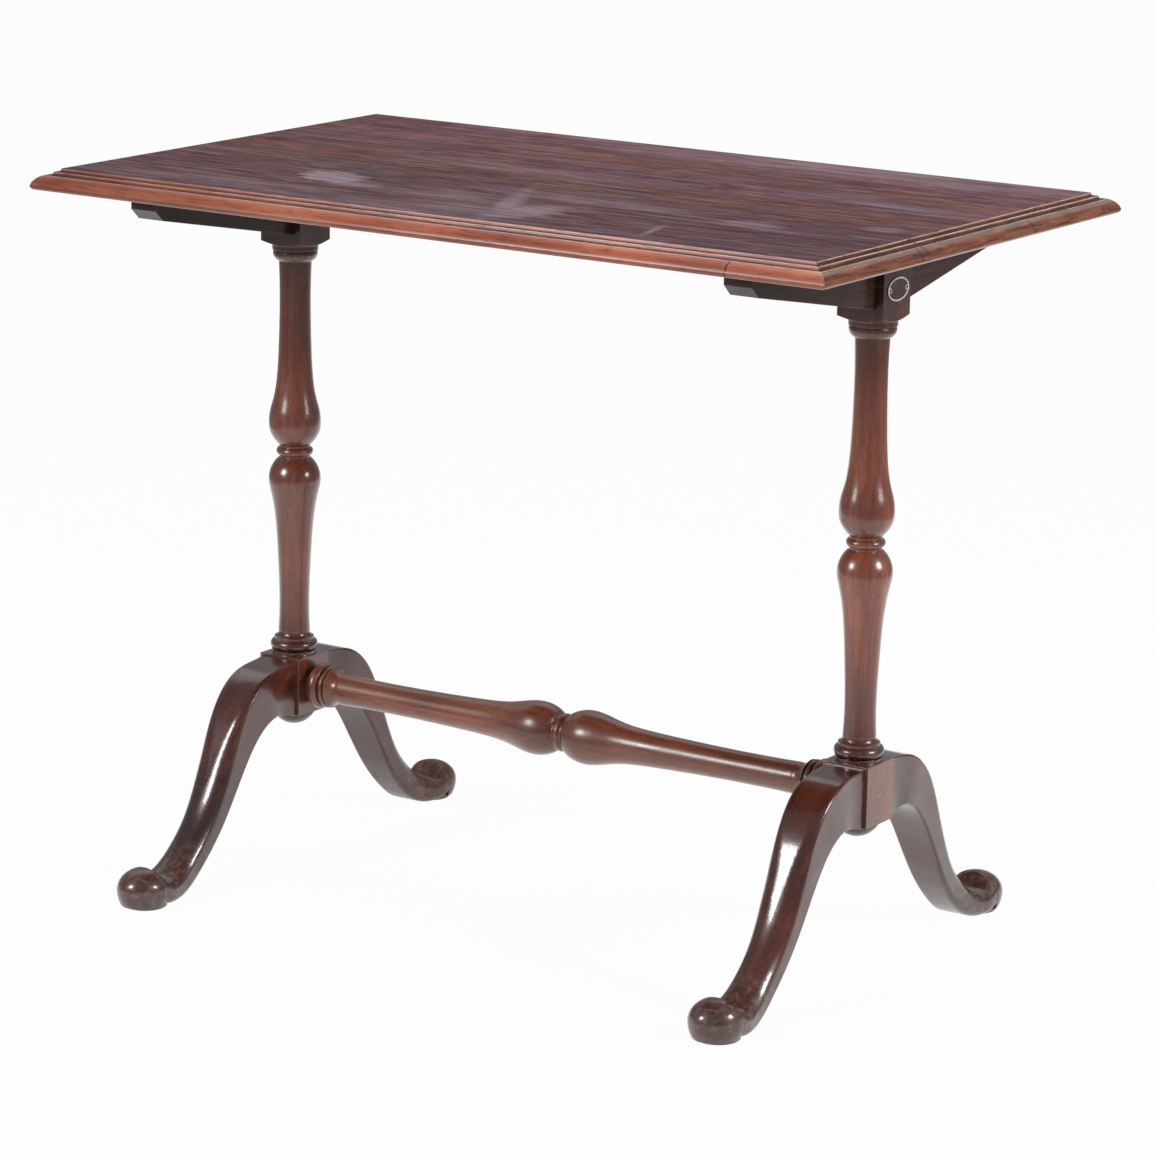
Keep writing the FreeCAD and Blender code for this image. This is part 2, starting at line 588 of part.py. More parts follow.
def make_plug():
    """Wooden plug over the head of the stretcher's screw, flush with the hub."""
    return Part.makeCylinder(PLUG_DIAMETER / 2, PLUG_LENGTH,
                             Vector(-half_block, 0, STRETCHER_HEIGHT), X_AXIS)


def place(shape, side, turn):
    """Copy turned about the column's axis and moved to the left (-1) or right (1) standard."""
    copy = shape.rotated(ORIGIN, Z_AXIS, turn)
    copy.translate(X_AXIS * side * half_spacing)
    return copy


# Assembly
make_boards()
save(make_stretcher(), "stretcher")
bearer = make_bearer()
bearer_screws = make_bearer_screws()
column = make_column()
boss = make_boss()
leg = make_leg()
stretcher_screw = make_stretcher_screw()
plug = make_plug()
for side, turn, name in ((-1, 0, "left"), (1, 180, "right")):
    save(place(bearer, side, turn), "bearer_" + name)
    save(place(bearer_screws, side, turn), "bearer_screws_" + name)
    save(place(column, side, turn), "column_" + name)
    save(place(boss, side, turn), "boss_" + name)
    save(place(leg, side, 0), "leg_front_" + name)
    save(place(leg, side, 180), "leg_rear_" + name)
    save(place(stretcher_screw, side, turn), "stretcher_screw_" + name)
    save(place(plug, side, turn), "stretcher_plug_" + name)
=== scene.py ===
import math

import bmesh
import bpy
from mathutils import Matrix, Vector


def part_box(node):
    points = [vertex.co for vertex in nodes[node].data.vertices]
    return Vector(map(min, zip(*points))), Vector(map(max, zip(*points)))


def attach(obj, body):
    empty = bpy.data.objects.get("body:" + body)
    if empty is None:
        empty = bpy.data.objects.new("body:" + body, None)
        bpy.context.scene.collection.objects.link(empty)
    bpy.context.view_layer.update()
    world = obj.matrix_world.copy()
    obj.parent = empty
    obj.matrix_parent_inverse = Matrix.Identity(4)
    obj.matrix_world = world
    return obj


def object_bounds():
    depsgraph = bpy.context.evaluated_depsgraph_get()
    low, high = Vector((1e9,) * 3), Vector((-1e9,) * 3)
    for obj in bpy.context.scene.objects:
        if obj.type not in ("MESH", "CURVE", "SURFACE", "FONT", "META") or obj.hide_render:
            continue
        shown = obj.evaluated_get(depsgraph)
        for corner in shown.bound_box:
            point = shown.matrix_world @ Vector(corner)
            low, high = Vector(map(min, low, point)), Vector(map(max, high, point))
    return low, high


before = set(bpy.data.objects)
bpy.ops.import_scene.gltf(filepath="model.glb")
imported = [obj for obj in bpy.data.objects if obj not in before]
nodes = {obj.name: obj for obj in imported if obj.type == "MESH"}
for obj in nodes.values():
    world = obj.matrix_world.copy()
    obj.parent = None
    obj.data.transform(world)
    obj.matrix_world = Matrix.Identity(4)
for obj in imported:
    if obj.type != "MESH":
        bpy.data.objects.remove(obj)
cad_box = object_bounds()
scene = bpy.context.scene
scene.view_settings.view_transform = "Standard"

# Sizes read from the frame, in metres like every length below
half_length = cad_box[1].x
half_width = cad_box[1].y
table_height = cad_box[1].z
board_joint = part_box("top_board_front")[1].y
plate_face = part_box("stretcher_plug_right")[1].x

# Camera, in metres and degrees: the place and turn that the photograph was taken from
CAMERA_PLACE = (2.3248, -3.5130, 1.3404)
CAMERA_YAW = -33.35
CAMERA_PITCH = 13.52
CAMERA_ROLL = 1.04
CAMERA_LENS = 141.3
CAMERA_REACH = 200.0
SENSOR_WIDTH = 36.0
yaw = math.radians(CAMERA_YAW)
away_from_camera = (math.sin(yaw), math.cos(yaw), 0.0)
towards_camera = (-math.sin(yaw), -math.cos(yaw), 0.0)
across_view = (math.cos(yaw), -math.sin(yaw), 0.0)

# Studio light: a white sheet on the floor of a dim room, two softboxes and a fill overhead
FLOOR_COLOUR = (0.80, 0.80, 0.80)
FLOOR_WHITE = (1.0, 1.0, 1.0)
FLOOR_WHITE_SHARE = 0.965
FLOOR_HALF = 40.0
SHEET_FRONT = (1.35, 1.10)
SHEET_SIDE = (1.60, 1.20)
ROOM_LEVEL = 0.28
AIM = (0.0, 0.0, 0.40)
SOFTBOXES = (
    # name, place, width, height, power
    ("softbox_left", (-1.05, -2.15, 1.45), 0.60, 0.60, 30.0),
    ("softbox_right", (2.25, 0.25, 1.30), 0.60, 0.60, 27.0),
    ("fill_overhead", (0.0, 0.2, 2.60), 1.40, 1.40, 13.0),
)

# Room: its colour, and the soft limits of the white backdrop, as components of a ray's direction
WORLD_COLOUR = (0.27, 0.275, 0.295)
BACKDROP_COLOUR = (0.975, 0.975, 0.975)
BACKDROP_SIDE = (0.35, 0.55)
BACKDROP_FOOT = (0.54, 0.66)
BACKDROP_HEAD = (0.94, 0.84)

# Wood tones, dark to light, as linear colours
COLUMN_TONES = ((0.100, 0.021, 0.010), (0.225, 0.053, 0.024), (0.365, 0.110, 0.052))
LEG_TONES = ((0.032, 0.006, 0.003), (0.080, 0.014, 0.006), (0.150, 0.034, 0.015))
STRETCHER_TONES = ((0.100, 0.022, 0.008), (0.235, 0.060, 0.022), (0.360, 0.112, 0.044))
# Bearers and bosses: tones made dark as painted shade
SHADED_DARK_TONES = ((0.020, 0.008, 0.006), (0.042, 0.016, 0.012), (0.072, 0.028, 0.020))
PLUG_TONES = ((0.140, 0.036, 0.016), (0.250, 0.075, 0.036), (0.340, 0.125, 0.070))
FOOT_TONES = ((0.028, 0.009, 0.006), (0.075, 0.028, 0.018), (0.250, 0.150, 0.115))
PLUM_TONES = ((0.048, 0.012, 0.016), (0.092, 0.028, 0.037), (0.152, 0.058, 0.070))
BROWN_TONES = ((0.054, 0.014, 0.010), (0.106, 0.033, 0.024), (0.168, 0.064, 0.047))
FRONT_TONES = ((0.190, 0.034, 0.015), (0.340, 0.076, 0.034), (0.460, 0.135, 0.066))
END_TONES = ((0.065, 0.017, 0.006), (0.180, 0.050, 0.018), (0.285, 0.098, 0.040))

# Metal tones, dark to light
IRON_TONES = ((0.030, 0.026, 0.024), (0.075, 0.065, 0.058), (0.12, 0.055, 0.030))
PAINT_TONES = ((0.040, 0.022, 0.020), (0.085, 0.050, 0.045))
ZINC_TONES = ((0.44, 0.36, 0.35), (0.68, 0.59, 0.57))

# Places of the tones on their patterns
BASE_STOPS = (0.34, 0.50, 0.66)
FOOT_STOPS = (0.32, 0.50, 0.70)
FIELD_STOPS = (0.38, 0.50, 0.62)
FRONT_STOPS = (0.40, 0.50, 0.60)
END_STOPS = (0.36, 0.50, 0.64)
IRON_STOPS = (0.35, 0.55, 0.72)
PLATE_STOPS = (0.3, 0.7)

# Colours of dirt and wear, and of painted shade, painted highlights and painted reflections
# Dark colour of dirt and painted shade in the recesses, and of the board joint and the cracks
DIRT_AND_SHADE = (0.012, 0.005, 0.004)
BASE_PORE = (0.012, 0.004, 0.003)
TOP_PORE = (0.012, 0.004, 0.004)
RUBBED = (0.30, 0.17, 0.13)
SPECK = (0.42, 0.33, 0.30)
# Pale worn edges of the base and of the top, partly painted highlight
BASE_EDGE_WEAR_AND_HIGHLIGHT = (0.34, 0.15, 0.09)
TOP_EDGE_WEAR_AND_HIGHLIGHT = (0.52, 0.34, 0.27)
# Painted highlight on the arrises of the steps and on the nosing's shoulder
ARRIS_HIGHLIGHT = (0.70, 0.53, 0.47)
# Painted reflection, pale on the right part of the front nosing
FRONT_PAINTED_REFLECTION = (0.46, 0.24, 0.17)
# Pale polish bloom, and painted sheen
BLOOM_AND_SHEEN_COLOUR = (0.40, 0.30, 0.345)
SCRATCH_COLOUR = (0.46, 0.37, 0.38)

# Noise patterns, and the smooth steps that make marks of them
PATTERNS = {
    # name: density along each axis or along all three, detail, roughness, distortion
    "base_ribbon": ((1.5, 26.0, 26.0), 3.0, 0.55, 0.5),
    "base_streak": ((4.5, 190.0, 190.0), 6.0, 0.64, 0.2),
    "top_ribbon": ((0.9, 9.0, 9.0), 3.0, 0.55, 0.5),
    "top_streak": ((3.0, 90.0, 90.0), 6.0, 0.64, 0.2),
    "top_hair": ((12.0, 150.0, 150.0), 3.0, 0.6, 0.0),
    "pore": ((60.0, 1300.0, 1300.0), 1.0, 0.5, 0.0),
    "scuff": (1.0, 1.0, 0.4, 0.0),
    "chip": (55.0, 4.0, 0.65, 0.0),
    "cloud": (8.0, 4.0, 0.6, 0.0),
    "base_smear": (16.0, 5.0, 0.66, 0.4),
    "wave": (22.0, 1.0, 0.4, 0.0),
    "dent": (120.0, 3.0, 0.6, 0.0),
    "worn_foot": (130.0, 5.0, 0.7, 0.0),
    "pit": (150.0, 4.0, 0.7, 0.0),
    "nick": (260.0, 5.0, 0.72, 0.0),
    "speck": (380.0, 2.0, 0.5, 0.0),
    "mottle": ((36.0, 95.0, 1.0), 4.0, 0.7, 0.0),
    "blotch": ((9.0, 9.0, 30.0), 3.0, 0.6, 0.0),
    "cut_fibre": ((150.0, 22.0, 300.0), 5.0, 0.66, 0.6),
    "arris_breakup": ((70.0, 70.0, 1.0), 4.0, 0.65, 0.0),
    "ragged": ((34.0, 120.0, 1.0), 6.0, 0.72, 0.0),
    "sheen_haze": ((5.0, 44.0, 1.0), 6.0, 0.70, 0.0),
    "dash": ((45.0, 120.0, 1.0), 3.0, 0.6, 0.0),
    "top_smear": ((9.0, 40.0, 1.0), 5.0, 0.65, 0.0),
    "rust": (700.0, 4.0, 0.6, 0.0),
    "stain": (420.0, 5.0, 0.65, 0.0),
}
LIMITS = {
    # name: limits of the value, limits of the result
    "pore": (0.57, 0.69, 0.0, 1.0),
    # Where the recesses get dirt and painted shade
    "recess_shade": (0.72, 0.30, 0.0, 1.0),
    "chip": (0.35, 0.65, 0.0, 1.0),
    "sharp_edge": (0.995, 0.86, 0.0, 1.0),
    "cloud": (0.32, 0.68, 0.70, 1.16),
    "base_roughness": (0.30, 0.75, 0.20, 0.36),
    "base_scuff": (0.73, 0.76, 0.0, 1.0),
    "nick": (0.48, 0.62, 0.0, 1.0),
    "speck": (0.735, 0.775, 0.0, 1.0),
    "plum_to_brown": (0.38, 0.64, 0.0, 1.0),
    "mottle": (0.34, 0.66, 0.64, 1.30),
    # Painted light: the field brighter towards the back
    "painted_light_to_back": (-half_width, half_width, 1.00, 1.70),
    "left_to_right": (-half_length, half_length, 0.0, 1.0),
    # Painted shade: the nosing darker towards its bottom
    "nosing_painted_shade": (table_height - 0.020, table_height - 0.009, 0.66, 1.12),
    # Painted highlight on the nosing's shoulder
    "shoulder_highlight": (table_height - 0.0100, table_height - 0.0080, 0.0, 1.0),
    # Painted shade at the foot of each riser
    "riser_foot": (0.45, 0.10, 0.0, 1.0),
    # Painted highlights on the steps' arrises, and their breakup
    "riser_arris_highlight": (0.52, 0.86, 0.0, 1.0),
    "arris_breakup": (0.30, 0.60, 0.45, 1.0),
    # Pale haze along the grain: bloom and painted sheen
    "sheen_haze": (0.50, 0.68, 0.0, 0.13),
    "bloom_and_sheen_grain": (0.36, 0.58, 0.45, 1.0),
    "top_scratch": (0.68, 0.71, 0.0, 1.0),
    "dash": (0.60, 0.72, 0.0, 0.5),
    "board_joint": (0.0016, 0.0006, 0.0, 1.0),
    "front_half": (0.0, -0.1, 0.0, 1.0),
    "right_half": (0.0, 0.1, 0.0, 1.0),
    "field_roughness": (0.3, 0.7, 0.34, 0.52),
    "edge_coat": (0.0, 1.0, 0.45, 0.85),
    "iron_roughness": (0.3, 0.7, 0.38, 0.72),
    "plate_roughness": (0.3, 0.7, 0.38, 0.6),
    "plate_rim": (plate_face + 0.0006, plate_face + 0.0011, 0.0, 1.0),
    "floor_sheet": (0.0, 1.0, ROOM_LEVEL, 1.0),
}

# Values that all the woods share, with the shift of the scuffs from one direction to the next
PORE_SHARE = 0.5
SCUFF_SHIFT = (0.31, 0.17, 0.45)
WEAR_SAMPLES = 6
SOFT_SAMPLES = 4
POLISH_IOR = 1.5
GRAIN_DEPTH = 0.0006

# Wood of the base: shares and heights of its marks, reach of its wear and painted highlight, and of its
# dirt and painted shade
RIBBON_SHARE = 0.5
DENT_HEIGHT = 0.025
SCUFF_ANGLES = ((0.4, 0.9, 0.2), (1.1, 0.2, 0.7), (0.2, 1.4, 1.2))
SCUFF_DENSITY = (9.0, 320.0, 320.0)
SCUFF_SHARE = 0.14
SPECK_SHARE = 0.5
BASE_EDGE_REACH = 0.0018
# Reach of the dirt and painted shade in the base's recesses
BASE_DIRT_AND_SHADE_REACH = 0.008
BASE_SOFT_RADIUS = 0.0010
BASE_STREAK_HEIGHT = 0.4
BASE_GRAIN_STRENGTH = 0.06
MARK_DEPTH = 0.12
POLISH_STRENGTH = 1.0
POLISH_DEPTH = 0.0010
# Brightness of the columns by height: painted shade darkens the upper shaft and the head under the top,
# and the base rings are made darker too
COLUMN_SHADES = (
    # share of the table's height, brightness
    (0.284, 0.95),
    (0.294, 0.42),
    (0.325, 0.52),
    (0.345, 0.74),
    (0.420, 1.00),
    (0.720, 1.00),
    (0.800, 0.68),
    (0.870, 0.40),
    (0.910, 0.11),
)

# Worn feet: the levels between which the wear fades, and what it does
FOOT_WEAR = (0.060, 0.030)
FOOT_RAGGED = 0.03
FOOT_SHARE = 0.7
FOOT_ROUGHNESS = 0.16
PIT_HEIGHT = 0.12

# Bruise of the front legs: centre, size and strength, and its soft edge in sizes
LEG_BRUISE = ((0.3160, -0.1160, 0.1000), 0.026, 0.7)
BRUISE_EDGE = (1.6, 0.7)

# Shape of the top's edge: two small steps down from the field to the nosing's ledge
STEP_DROP = 0.0030
ledge_level = table_height - 2 * STEP_DROP
MITRE_BLUR = 0.0006
FIELD_LEVELS = (table_height - 0.0004, table_height - 0.0001)
NOSING_LEVELS = (ledge_level - 0.0002, ledge_level - 0.0006)
RISER_FOOT = ledge_level - 0.0001

# Wood of the top: shares and heights of its marks, reach of its wear and painted highlight, and of its
# dirt and painted shade
FIELD_STREAK_SHARE = 0.42
FRONT_STREAK_SHARE = 0.5
# Painted light: the front nosing brighter towards the right
FRONT_PAINTED_LIGHT = (0.66, 1.00)
# Share of the painted reflection on the right of the front nosing
FRONT_REFLECTION_SHARE = 0.24
RISER_SHADE = -0.72
# Shares of the painted highlights on the arrises and on the nosing's shoulder
ARRIS_HIGHLIGHT_SHARE = (0.4, 0.6)
SHOULDER_HIGHLIGHT_SHARE = 0.20
SCRATCH_ANGLES = ((0, 0, 0.02), (0, 0, -0.03), (0, 0, 0.5), (0, 0, -0.6), (0, 0, 1.25))
SCRATCH_DENSITY = (9.0, 330.0, 330.0)
SCRATCH_SHARE = 0.34
SCRATCH_DEPTH = 0.8
JOINT_SHARE = 0.75
CRACK_SHARE = 0.8
CRACK_WAVER = 0.006
TOP_EDGE_REACH = 0.0012
TOP_EDGE_SHARE = 0.40
# Reach and strength of the dirt and painted shade in the top's recesses
TOP_DIRT_AND_SHADE_REACH = 0.0025
TOP_DIRT_AND_SHADE_SHARE = 0.70
TOP_SOFT_RADIUS = 0.0007
TOP_STREAK_HEIGHT = 0.6
TOP_GRAIN_STRENGTH = 0.10
BLOOM_AND_SHEEN_ROUGHNESS = 0.25
EDGE_ROUGHNESS = 0.24
TOP_COAT_ROUGHNESS = 0.25
TOP_SPECULAR = 0.12
# Patches of pale polish bloom and of painted sheen
BLOOM_AND_SHEEN = (
    # centre, half sizes, turn in degrees, softness, strength
    ((-0.185, -0.128), (0.038, 0.028), -20.0, 0.20, 0.95),
    ((-0.150, -0.150), (0.034, 0.014), 0.0, 0.5, 0.55),
    ((0.030, -0.150), (0.011, 0.080), 22.0, 0.6, 0.60),
    ((0.070, -0.190), (0.026, 0.046), -16.0, 0.5, 0.70),
    ((0.020, -0.205), (0.060, 0.030), 0.0, 0.8, 0.40),
    ((0.085, -0.098), (0.090, 0.016), 0.0, 0.7, 0.45),
    ((0.150, -0.100), (0.050, 0.010), 0.0, 0.6, 0.45),
    ((-0.040, -0.150), (0.050, 0.024), 0.0, 0.8, 0.35),
    ((0.264, -0.116), (0.032, 0.014), 4.0, 0.5, 0.45),
    ((0.371, -0.066), (0.018, 0.012), 0.0, 0.5, 0.50),
    ((0.312, 0.060), (0.085, 0.014), -9.0, 0.7, 0.40),
    ((0.215, -0.197), (0.0035, 0.030), 12.0, 0.5, 0.50),
    ((-0.240, -0.212), (0.170, 0.026), 0.0, 0.9, 0.26),
    ((-0.060, -0.235), (0.120, 0.016), 0.0, 0.9, 0.40),
    ((0.170, 0.225), (0.250, 0.036), 0.0, 0.9, 0.52),
    ((-0.050, 0.020), (0.120, 0.020), 0.0, 0.9, 0.30),
)

# Cracks across the nosing: place along the edge, half width
FRONT_CRACKS = ((0.3332, 0.0007),)
END_CRACKS = ((-0.1030, 0.0006), (0.1007, 0.0006))

# Metals: share of metal, strength and depth of their rough skin
IRON_METALLIC = 0.85
IRON_BUMP = 0.2
PLATE_METALLIC = 0.15
PLATE_BUMP = 0.15
METAL_DEPTH = 0.0002

# Bare oval plate nailed to the right head: centre across the head and up from the floor, and sizes
PLATE_CENTRE = (0.0007, 0.6460)
PLATE_HALF_LENGTH = 0.0190
PLATE_HALF_HEIGHT = 0.0112
PLATE_SEGMENTS = 72
PLATE_PROFILE = (
    # inset from the outline, stand-off from the wood
    (0.0000, 0.0000),
    (0.0000, 0.0006),
    (0.0003, 0.0010),
    (0.0010, 0.0012),
    (0.0017, 0.0010),
    (0.0021, 0.0006),
    (0.0024, 0.0005),
)

# Eyes at the plate's ends, rings of a round section, and the nails in them
EYE_PLACE = 0.0148
EYE_RADIUS = 0.0021
EYE_TUBE = 0.0006
EYE_STAND_OFF = 0.0006
EYE_SEGMENTS = 28
EYE_TUBE_SEGMENTS = 8
NAIL_RADIUS = 0.0013
NAIL_RISE = 0.0007
NAIL_STAND_OFF = 0.0004
NAIL_SEGMENTS = 20
NAIL_STEPS = 6
eye_centres = [(PLATE_CENTRE[0] + side * EYE_PLACE, PLATE_CENTRE[1]) for side in (-1, 1)]


class Graph:
    """Short way to write the nodes of a material or of the world."""

    def __init__(self, owner):
        self.owner = owner
        owner.use_nodes = True
        self.tree = owner.node_tree
        self.tree.nodes.clear()
        self.places = self.node("ShaderNodeTexCoord").outputs
        self.coords = self.places["Object"]

    def node(self, kind, inputs=None, **settings):
        made = self.tree.nodes.new(kind)
        for key, value in settings.items():
            setattr(made, key, value)
        for key, value in (inputs or {}).items():
            self.feed(made.inputs[key], value)
        return made

    def feed(self, socket, value):
        """Links a socket or sets it. A colour is given without its alpha."""
        if isinstance(value, bpy.types.NodeSocket):
            self.tree.links.new(value, socket)
        elif socket.type == "RGBA":
            socket.default_value = (*value, 1.0)
        else:
            socket.default_value = value

    def math(self, operation, first, second=0.0, third=0.0):
        made = self.node("ShaderNodeMath", {0: first, 1: second, 2: third}, operation=operation)
        return made.outputs[0]

    def fold(self, operation, values):
        """One operation from each value to the next."""
        made = values[0]
        for value in values[1:]:
            made = self.math(operation, made, value)
        return made

    def times(self, *values):
        return self.fold("MULTIPLY", values)

    def most(self, *values):
        return self.fold("MAXIMUM", values)

    def minus(self, *values):
        return self.fold("SUBTRACT", values)

    def blend(self, first, second, share):
        """Sum of two patterns, with the share of the first."""
        return self.math("ADD", self.times(first, share), self.times(second, 1.0 - share))

    def add_share(self, base, value, share):
        """Base with a share of a value on top."""
        return self.math("MULTIPLY_ADD", value, share, base)

    def vector_math(self, operation, first, second=(0.0, 0.0, 0.0)):
        return self.node("ShaderNodeVectorMath", {0: first, 1: second}, operation=operation).outputs

    def dot(self, first, second):
        return self.vector_math("DOT_PRODUCT", first, second)["Value"]

    def rescale(self, value, low, high, out_low=0.0, out_high=1.0):
        """Smooth step of a value between two limits."""
        made = self.node("ShaderNodeMapRange", {0: value, 1: low, 2: high, 3: out_low, 4: out_high},
                         interpolation_type="SMOOTHSTEP")
        return made.outputs[0]

    def limit(self, value, name):
        """Smooth step of a value between the limits of that name."""
        return self.rescale(value, *LIMITS[name])

    def mix(self, factor, first, second, blend="MIX"):
        made = self.node("ShaderNodeMix", {0: factor, 6: first, 7: second}, data_type="RGBA",
                         blend_type=blend, clamp_factor=True)
        return made.outputs[2]

    def ramp(self, value, places, colours):
        made = self.node("ShaderNodeValToRGB", {0: value})
        elements = made.color_ramp.elements
        while len(elements) < len(places):
            elements.new(1.0)
        for element, place, colour in zip(elements, places, colours):
            element.position = place
            element.color = (*colour, 1.0)
        return made.outputs[0]

    def noise(self, vector, scale, detail, roughness, distortion):
        made = self.node("ShaderNodeTexNoise", {"Vector": vector, "Scale": scale, "Detail": detail,
                                                "Roughness": roughness, "Distortion": distortion})
        return made.outputs[0]

    def pattern(self, name, space=None):
        """Noise of that name in the space given, or else in the object's own."""
        density, *look = PATTERNS[name]
        space = self.coords if space is None else space
        if isinstance(density, tuple):
            return self.noise(self.place(space, density), 1.0, *look)
        return self.noise(space, density, *look)

    def marks(self, name, space=None):
        """Noise of that name between the limits of the same name."""
        return self.limit(self.pattern(name, space), name)

    def place(self, vector, scale=(1, 1, 1), shift=(0, 0, 0), turn=(0, 0, 0)):
        made = self.node("ShaderNodeMapping", {"Vector": vector, "Scale": scale, "Location": shift,
                                               "Rotation": turn})
        return made.outputs[0]

    def shade(self, colour, factor):
        made = self.node("ShaderNodeVectorMath", {0: colour, "Scale": factor}, operation="SCALE")
        return made.outputs[0]

    def split(self, vector):
        return self.node("ShaderNodeSeparateXYZ", {0: vector}).outputs

    def grain_space(self, along, across, shift):
        """Coordinates whose first axis runs along the grain, in metres."""
        first = Vector(along).normalized()
        third = first.cross(Vector(across)).normalized()
        second = third.cross(first)
        parts = [self.dot(self.coords, tuple(axis)) for axis in (first, second, third)]
        joined = self.node("ShaderNodeCombineXYZ", dict(enumerate(parts))).outputs[0]
        return self.place(joined, shift=shift)

    def rounded(self, radius, samples):
        """Normal of the surface with its edges rounded."""
        return self.node("ShaderNodeBevel", {"Radius": radius}, samples=samples).outputs[0]

    def bump(self, height, strength, depth, normal=None):
        made = self.node("ShaderNodeBump", {"Height": height, "Strength": strength, "Distance": depth})
        if normal is not None:
            self.feed(made.inputs["Normal"], normal)
        return made.outputs[0]

    def finish(self, shader, kind="ShaderNodeOutputMaterial"):
        self.node(kind, {"Surface": shader})
        return self.owner


def grain(graph, space, wood):
    """Broad ribbons, fine streaks and pores of mahogany, each from 0 to 1."""
    ribbon = graph.pattern(wood + "_ribbon", space)
    streak = graph.pattern(wood + "_streak", space)
    return ribbon, streak, graph.marks("pore", space)


def recess_dirt_and_shade(graph, colour, reach, strength):
    """Painted shade in the recesses, with the dirt and old polish gathered there."""
    openness = graph.node("ShaderNodeAmbientOcclusion", {"Distance": reach}, samples=WEAR_SAMPLES)
    recess_shade = graph.limit(openness.outputs["AO"], "recess_shade")
    return graph.mix(graph.times(recess_shade, strength), colour, DIRT_AND_SHADE)


def scuffs(graph, angles, density, limits):
    """Fine straight scratches in several directions, from 0 to 1."""
    layers = []
    for number, angle in enumerate(angles):
        shift = (SCUFF_SHIFT[0] * number, SCUFF_SHIFT[1], SCUFF_SHIFT[2] * number)
        lines = graph.place(graph.coords, density, shift, angle)
        layers.append(graph.limit(graph.pattern("scuff", lines), limits))
    return graph.most(*layers)


def edge_wear_and_highlight(graph, radius, strength):
    """How far a sharp edge is rubbed pale, partly wear and partly a painted highlight, broken up by
    chips.
    """
    true_normal = graph.node("ShaderNodeNewGeometry").outputs["Normal"]
    facing = graph.dot(graph.rounded(radius, WEAR_SAMPLES), true_normal)
    return graph.times(graph.limit(facing, "sharp_edge"), graph.marks("chip"), strength)


def polished(graph, colour, roughness, normal, coat, gloss, coat_normal, specular=0.5):
    """Wood under a coat of polish."""
    shader = graph.node("ShaderNodeBsdfPrincipled", {
        "Base Color": colour, "Roughness": roughness, "Normal": normal, "Specular IOR Level": specular,
        "Coat Weight": coat, "Coat Roughness": gloss, "Coat IOR": POLISH_IOR,
        "Coat Normal": coat_normal}).outputs[0]
    return graph.finish(shader)


def bruised(graph, smear, bruise):
    """Nicks round one place, from 0 to the bruise's strength."""
    centre, size, strength = bruise
    away = graph.vector_math("DISTANCE", graph.coords, centre)["Value"]
    outer, inner = (size * edge for edge in BRUISE_EDGE)
    near = graph.rescale(graph.add_share(away, smear, size), outer, inner)
    return graph.times(near, graph.marks("nick"), strength)


def base_wood(name, along, across, tones, shift, coat=1.0, wear_and_highlight=0.5, gloss=0.15, wave=0.0, dirt_and_shade=0.55,
              shades=None, worn_below=None, bruise=None):
    """French-polished mahogany of the frame, worn pale on its edges with a painted highlight there, with
    dirt and painted shade in its recesses, and with painted shade by height where shades are given.
    """
    graph = Graph(bpy.data.materials.new(name))
    ribbon, streak, pore = grain(graph, graph.grain_space(along, across, shift), "base")
    colour = graph.ramp(graph.blend(ribbon, streak, RIBBON_SHARE), BASE_STOPS, tones)
    colour = graph.shade(colour, graph.marks("cloud"))
    colour = graph.mix(graph.times(pore, PORE_SHARE), colour, BASE_PORE)
    smear = graph.pattern("base_smear")
    roughness = graph.limit(smear, "base_roughness")
    dents = graph.times(graph.pattern("dent"), DENT_HEIGHT)
    level = graph.split(graph.coords)[2]
    if wave:
        dents = graph.add_share(dents, graph.pattern("wave"), wave)
    # Brightness by height, with painted shade under the top
    if shades:
        places, shares = zip(*shades)
        greys = [(share, share, share) for share in shares]
        shading = graph.ramp(graph.math("DIVIDE", level, table_height), places, greys)
        colour = graph.mix(1.0, colour, shading, "MULTIPLY")
    if worn_below:
        high, low = (edge + FOOT_RAGGED / 2 for edge in worn_below)
        worn = graph.rescale(graph.add_share(level, smear, FOOT_RAGGED), high, low)
        bare_foot = graph.ramp(graph.pattern("worn_foot"), FOOT_STOPS, FOOT_TONES)
        colour = graph.mix(graph.times(worn, FOOT_SHARE), colour, bare_foot)
        roughness = graph.add_share(roughness, worn, FOOT_ROUGHNESS)
        dents = graph.add_share(dents, graph.times(worn, graph.pattern("pit")), PIT_HEIGHT)
    marks = graph.times(scuffs(graph, SCUFF_ANGLES, SCUFF_DENSITY, "base_scuff"), SCUFF_SHARE)
    if bruise:
        marks = graph.most(marks, bruised(graph, smear, bruise))
    colour = graph.mix(marks, colour, RUBBED)
    colour = graph.mix(graph.times(graph.marks("speck"), SPECK_SHARE), colour, SPECK)
    # Pale worn edges, partly painted highlight
    colour = graph.mix(edge_wear_and_highlight(graph, BASE_EDGE_REACH, wear_and_highlight), colour, BASE_EDGE_WEAR_AND_HIGHLIGHT)
    # Dirt and painted shade darken the recesses
    colour = recess_dirt_and_shade(graph, colour, BASE_DIRT_AND_SHADE_REACH, dirt_and_shade)
    soft = graph.rounded(BASE_SOFT_RADIUS, SOFT_SAMPLES)
    fibres = graph.minus(graph.times(streak, BASE_STREAK_HEIGHT), pore)
    wood_normal = graph.bump(fibres, BASE_GRAIN_STRENGTH, GRAIN_DEPTH, soft)
    skin = graph.minus(dents, graph.times(marks, MARK_DEPTH))
    coat_normal = graph.bump(skin, POLISH_STRENGTH, POLISH_DEPTH, soft)
    return polished(graph, colour, roughness, wood_normal, coat, gloss, coat_normal)


